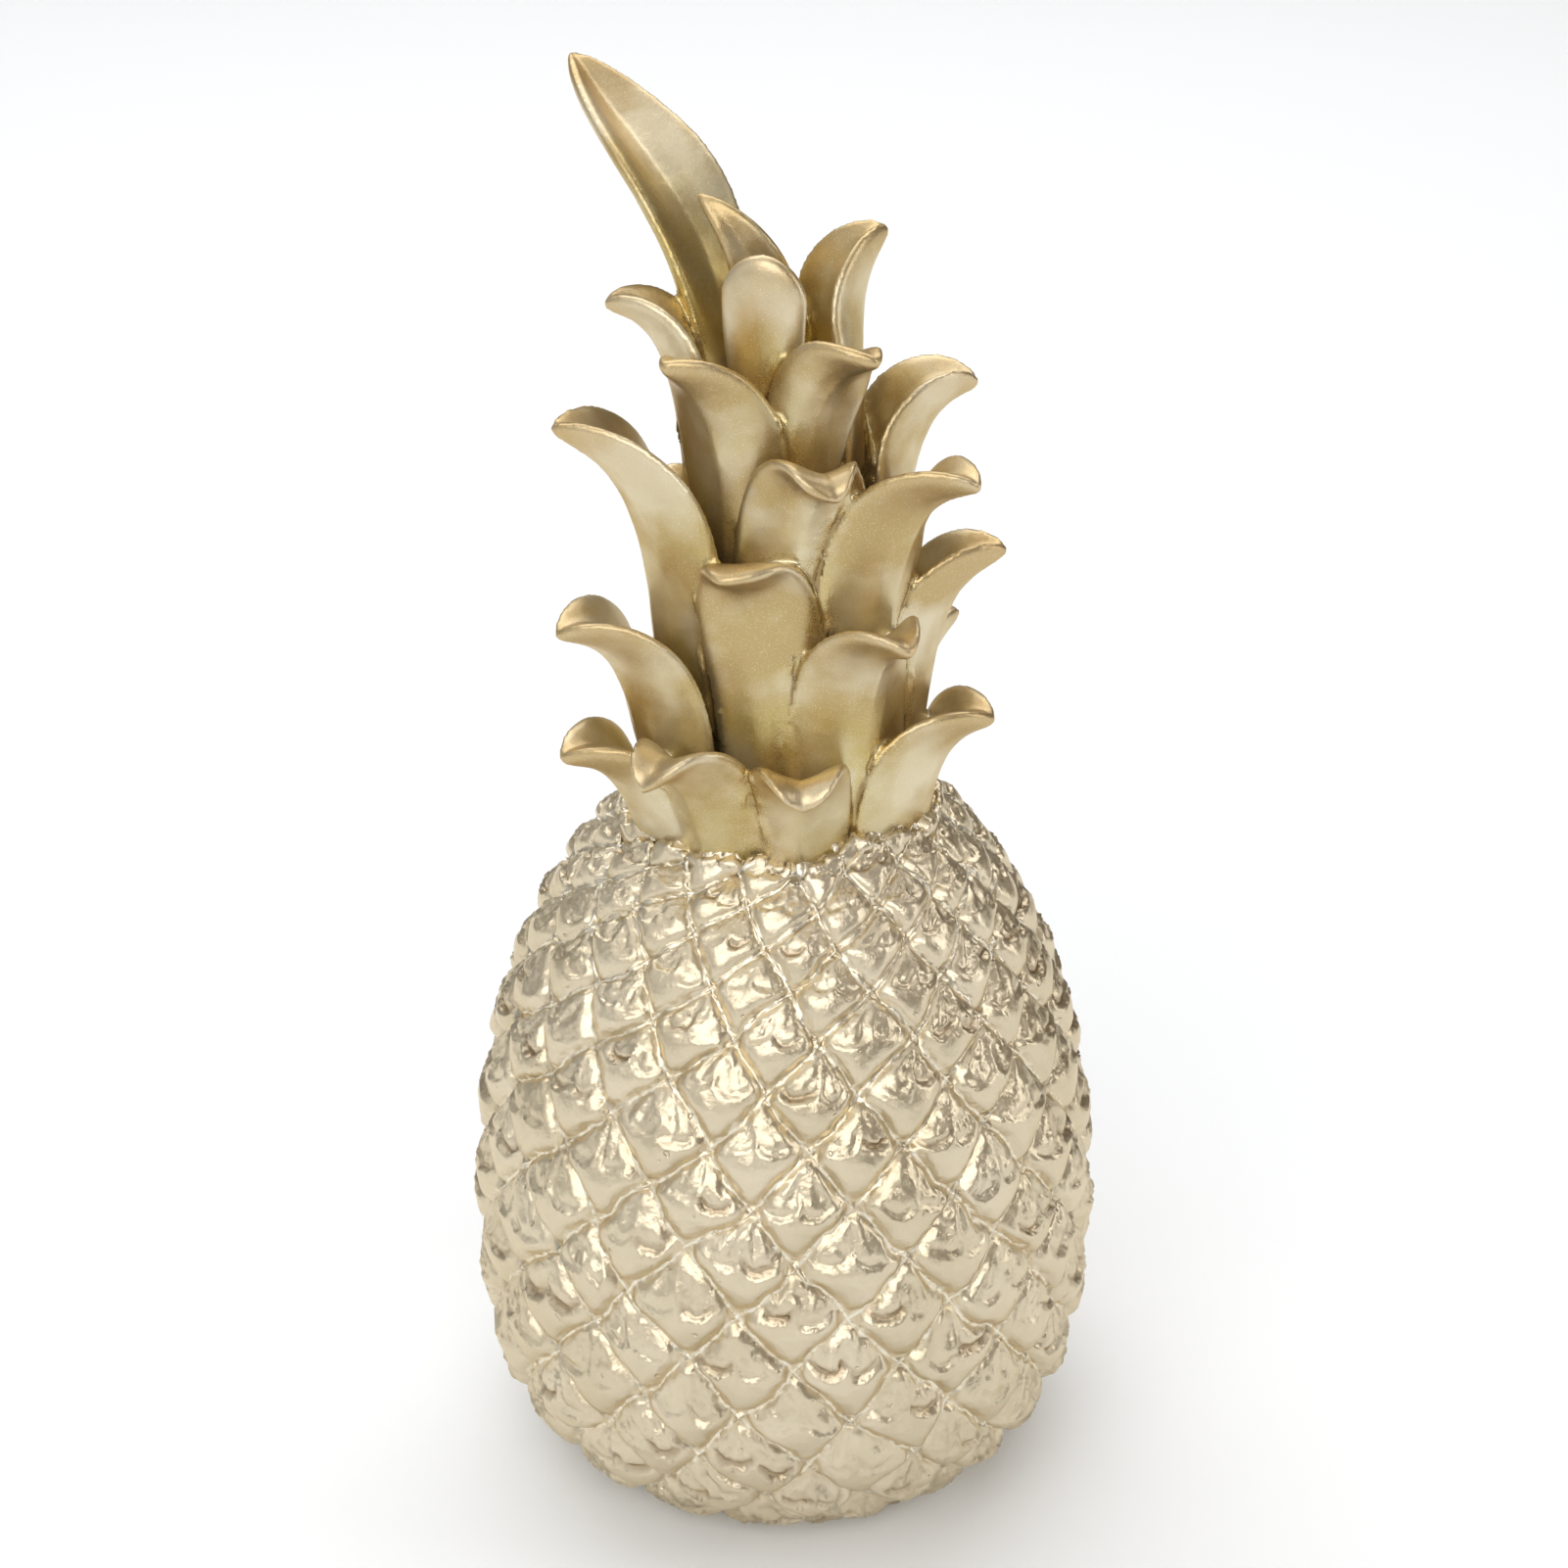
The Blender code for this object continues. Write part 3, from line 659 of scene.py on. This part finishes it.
def build_crown(plan, material):
    """The crown as one object: its core and leaves fused where they touch, and painted."""
    crown = add_object("crown", plan.mesh())
    fuse = crown.modifiers.new("fused", "REMESH")
    fuse.mode = "VOXEL"
    fuse.voxel_size = CROWN_VOXEL
    soften = crown.modifiers.new("softened", "SMOOTH")
    soften.factor = 0.5
    soften.iterations = 3
    settle(crown)
    cut_creases(crown.data, plan)
    thin_out(crown, CROWN_TRIANGLES)
    settle(crown)
    paint_marks(crown.data, plan)
    dress(crown, material)
    return crown


# Shared helpers

def add_object(name, data):
    item = bpy.data.objects.new(name, data)
    bpy.context.scene.collection.objects.link(item)
    return item


def settle(item):
    """Applies an object's modifiers to its mesh."""
    graph = bpy.context.evaluated_depsgraph_get()
    finished = bpy.data.meshes.new_from_object(item.evaluated_get(graph))
    finished.name = item.name
    item.modifiers.clear()
    item.data = finished


def keep_above_floor(data):
    points = mesh_points(data)
    points[:, 2] = np.maximum(points[:, 2], 0.0)
    data.vertices.foreach_set("co", points.ravel())


def thin_out(item, triangles):
    """Brings a mesh down to a number of triangles."""
    present = sum(len(face.vertices) - 2 for face in item.data.polygons)
    if present <= triangles:
        return
    thin = item.modifiers.new("thinned", "DECIMATE")
    thin.ratio = triangles / present


def dress(item, material):
    item.data.materials.clear()
    item.data.materials.append(material)
    for face in item.data.polygons:
        face.use_smooth = True


# Paint

class Paint:
    """A metallic paint under construction, with short ways to add its nodes."""

    def __init__(self, name):
        self.material = bpy.data.materials.new(name)
        self.material.use_nodes = True
        self.tree = self.material.node_tree
        self.shader = self.tree.nodes["Principled BSDF"]
        self.position = self.node("ShaderNodeTexCoord").outputs["Object"]

    def node(self, kind, **settings):
        node = self.tree.nodes.new(kind)
        for name, value in settings.items():
            setattr(node, name, value)
        return node

    def link(self, source, target):
        self.tree.links.new(source, target)

    def noise(self, scale, detail=2.0, roughness=0.5):
        """A noise from 0 to 1 with that many features per metre."""
        node = self.node("ShaderNodeTexNoise")
        node.inputs["Scale"].default_value = scale
        node.inputs["Detail"].default_value = detail
        node.inputs["Roughness"].default_value = roughness
        self.link(self.position, node.inputs["Vector"])
        return node.outputs["Fac"]

    def attribute(self, name):
        return self.node("ShaderNodeAttribute", attribute_name=name).outputs["Fac"]

    def spread(self, value, low, high, start=0.0, end=1.0):
        """Maps a value from low..high to start..end."""
        node = self.node("ShaderNodeMapRange")
        self.link(value, node.inputs["Value"])
        for name, number in (("From Min", low), ("From Max", high), ("To Min", start), ("To Max", end)):
            node.inputs[name].default_value = number
        return node.outputs["Result"]

    def math(self, kind, first, second):
        node = self.node("ShaderNodeMath", operation=kind)
        for socket, value in zip(node.inputs, (first, second)):
            if isinstance(value, (int, float)):
                socket.default_value = value
            else:
                self.link(value, socket)
        return node.outputs["Value"]

    def blend(self, share, first, second):
        """One colour where share is 0, the other where it is 1."""
        node = self.node("ShaderNodeMix", data_type="RGBA")
        self.link(share, node.inputs["Factor"])
        colour_inputs = [socket for socket in node.inputs if socket.type == "RGBA"]
        for socket, value in zip(colour_inputs, (first, second)):
            if isinstance(value, tuple):
                socket.default_value = (*value, 1.0)
            else:
                self.link(value, socket)
        return [socket for socket in node.outputs if socket.type == "RGBA"][0]

    def bump(self, heights):
        """Relief too fine for the mesh, from pairs of height and size in metres."""
        normal = None
        for height, size in heights:
            node = self.node("ShaderNodeBump")
            node.inputs["Strength"].default_value = 1.0
            node.inputs["Distance"].default_value = size
            self.link(height, node.inputs["Height"])
            if normal is not None:
                self.link(normal, node.inputs["Normal"])
            normal = node.outputs["Normal"]
        self.link(normal, self.shader.inputs["Normal"])


def gold_paint(name, coat, coat_roughness):
    """The gold metal under a clear coat that both paints start from."""
    paint = Paint(name)
    paint.shader.inputs["Metallic"].default_value = 0.85
    paint.shader.inputs["Specular Tint"].default_value = (0.95, 0.85, 0.66, 1.0)
    paint.shader.inputs["Coat Weight"].default_value = coat
    paint.shader.inputs["Coat Roughness"].default_value = coat_roughness
    return paint


def fruit_paint():
    """Glossy champagne gold, with painted shade in the grooves and deep pockets and painted highlights on
    the cords.
    """
    paint = gold_paint("gold paint on the fruit", coat=0.3, coat_roughness=0.1)
    relief = paint.attribute("relief")
    broad = paint.noise(60.0, detail=3.0)
    # Painted shade: the grooves between the eyes are darkened and warmed
    grooves = paint.spread(relief, -0.7, 0.1, start=1.0, end=0.0)
    tone = paint.blend(paint.spread(broad, 0.35, 0.65), *FRUIT_TONES)
    groove_shaded = paint.blend(paint.math("MULTIPLY", grooves, 0.45), tone, GROOVE_SHADE_GOLD)
    # Painted shade darkens the deepest pockets under the lips
    shaded = paint.blend(paint.math("MULTIPLY", paint.attribute("shade"), 0.8), groove_shaded, POCKET_SHADE_BROWN)
    fine = paint.noise(900.0, detail=3.0)
    # Painted highlight: the cords in the grooves are lit nearly white, broken by fine noise
    beads = paint.math("MULTIPLY", paint.attribute("cord"), paint.spread(fine, 0.38, 0.5))
    colour = paint.blend(paint.math("MULTIPLY", beads, 0.9), shaded, BEAD_HIGHLIGHT_GOLD)
    paint.link(colour, paint.shader.inputs["Base Color"])
    gloss = paint.spread(fine, 0.3, 0.7, start=0.28, end=0.38)
    paint.link(gloss, paint.shader.inputs["Roughness"])
    ripples, grain = paint.noise(620.0), paint.noise(2600.0)
    pits = paint.spread(paint.noise(520.0, detail=1.0), 0.74, 0.8, start=0.0, end=-1.0)
    paint.bump(((ripples, 0.16 * MM), (pits, 0.25 * MM), (grain, 0.04 * MM)))
    return paint.material


def leaf_paint():
    """Satin champagne gold with painted glints of a fine metal speckle, olive at the feet and tan at the
    tips, with painted shade and shadow in the creases between leaves.
    """
    paint = gold_paint("gold paint on the leaves", coat=0.12, coat_roughness=0.2)
    along = paint.attribute("along")
    crease = paint.attribute("crease")
    broad = paint.noise(75.0, detail=3.0)
    patches = paint.noise(55.0, detail=4.0)
    tips = paint.spread(along, 0.6, 1.0)
    feet = paint.math("MULTIPLY", paint.spread(along, 0.75, 0.1), paint.spread(patches, 0.42, 0.58))
    body = paint.blend(paint.spread(broad, 0.42, 0.62), *LEAF_TONES)
    footed = paint.blend(paint.math("MULTIPLY", feet, 0.8), body, FOOT_OLIVE)
    tipped = paint.blend(paint.math("MULTIPLY", tips, 0.6), footed, TIP_TAN)
    # Painted glints: bright specks like lit metal flakes
    speckle = paint.noise(5200.0, detail=1.0)
    glinted = paint.blend(paint.spread(speckle, 0.58, 0.74, start=0.0, end=0.5), tipped, GLINT_GOLD)
    # Painted shade: the leaves darken towards the creases between them
    crease_shade = paint.math("MULTIPLY", paint.spread(crease, 0.3, 0.9), 0.4)
    deep = paint.blend(crease_shade, glinted, CREASE_SHADE_OCHRE)
    # Painted shadow: thin dark lines, broken by noise, right in the creases
    broken = paint.spread(broad, 0.36, 0.56, start=0.2, end=0.9)
    lines = paint.math("MULTIPLY", paint.spread(crease, 0.8, 0.97), broken)
    colour = paint.blend(lines, deep, CREASE_SHADOW_BROWN)
    paint.link(colour, paint.shader.inputs["Base Color"])
    satin = paint.spread(speckle, 0.3, 0.7, start=0.3, end=0.42)
    gloss = paint.math("SUBTRACT", satin, paint.math("MULTIPLY", crease, 0.15))
    paint.link(gloss, paint.shader.inputs["Roughness"])
    paint.bump(((paint.noise(240.0, detail=3.0), 0.16 * MM), (speckle, 0.03 * MM)))
    return paint.material


def floor_paint():
    """Matt, nearly white."""
    paint = Paint("pale floor")
    paint.shader.inputs["Base Color"].default_value = (0.91, 0.93, 0.95, 1.0)
    paint.shader.inputs["Roughness"].default_value = 0.8
    paint.shader.inputs["Specular IOR Level"].default_value = 0.1
    return paint.material


# Surroundings

def build_floor():
    data = bpy.data.meshes.new("floor")
    half = FLOOR_SIZE / 2
    corners = [(-half, -half, 0), (half, -half, 0), (half, half, 0), (-half, half, 0)]
    data.from_pydata(corners, [], [(0, 1, 2, 3)])
    floor = add_object("floor", data)
    data.materials.append(floor_paint())


def add_panel(name, place, target, size, watts):
    """A soft rectangular light that faces a point."""
    light = bpy.data.lights.new(name, "AREA")
    light.shape = "RECTANGLE"
    light.size, light.size_y = size
    light.energy = watts
    lamp = add_object(name, light)
    lamp.location = place
    lamp.rotation_euler = (Vector(target) - Vector(place)).to_track_quat("-Z", "Y").to_euler()


def light_scene():
    """A soft studio: bright above and to the left, and a dim warm room to the right."""
    world = bpy.data.worlds.new("studio")
    world.use_nodes = True
    nodes, links = world.node_tree.nodes, world.node_tree.links
    direction = nodes.new("ShaderNodeTexCoord")
    parts = nodes.new("ShaderNodeSeparateXYZ")
    sides = nodes.new("ShaderNodeValToRGB")
    sides.color_ramp.elements[0].color = (0.36, 0.36, 0.36, 1.0)
    sides.color_ramp.elements[1].color = (0.12, 0.09, 0.06, 1.0)
    fade = nodes.new("ShaderNodeMapRange")
    for name, value in (("From Min", -0.7), ("From Max", 0.7)):
        fade.inputs[name].default_value = value
    links.new(direction.outputs["Generated"], parts.inputs["Vector"])
    links.new(parts.outputs["X"], fade.inputs["Value"])
    links.new(fade.outputs["Result"], sides.inputs["Fac"])
    links.new(sides.outputs["Color"], nodes["Background"].inputs["Color"])
    bpy.context.scene.world = world
    middle = (0.0, 0.0, 0.11)
    add_panel("left panel", (-0.9, -0.35, 0.6), middle, size=(0.7, 0.9), watts=0.9)
    add_panel("right panel", (0.95, -0.2, 0.45), middle, size=(0.3, 0.8), watts=2.0)
    add_panel("front panel", (-0.2, -1.2, 0.84), middle, size=(1.7, 1.05), watts=12.8)
    add_panel("top panel", (-0.15, -0.1, 1.3), middle, size=(1.2, 1.2), watts=3.5)
    add_panel("back panel", (-0.1, 1.1, 1.5), (-0.1, 1.1, 0.0), size=(2.6, 1.6), watts=26.0)


def set_camera():
    """The photo's viewing angle, worked out from the object's outline."""
    camera = add_object("camera", bpy.data.cameras.new("camera"))
    camera.data.lens = CAMERA_LENS
    camera.data.sensor_width = SENSOR_WIDTH
    camera.location = (0.0, -CAMERA_DISTANCE, CAMERA_HEIGHT)
    camera.rotation_euler = (math.pi / 2 - CAMERA_PITCH, 0.0, 0.0)
    bpy.context.scene.camera = camera


def main():
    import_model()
    plan = CrownPlan()
    for piece in (build_fruit(plan, fruit_paint()), build_crown(plan, leaf_paint())):
        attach(piece, "root")
        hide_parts("pineapple")
    build_floor()
    light_scene()
    set_camera()
    bpy.context.scene.view_settings.view_transform = "Standard"


main()
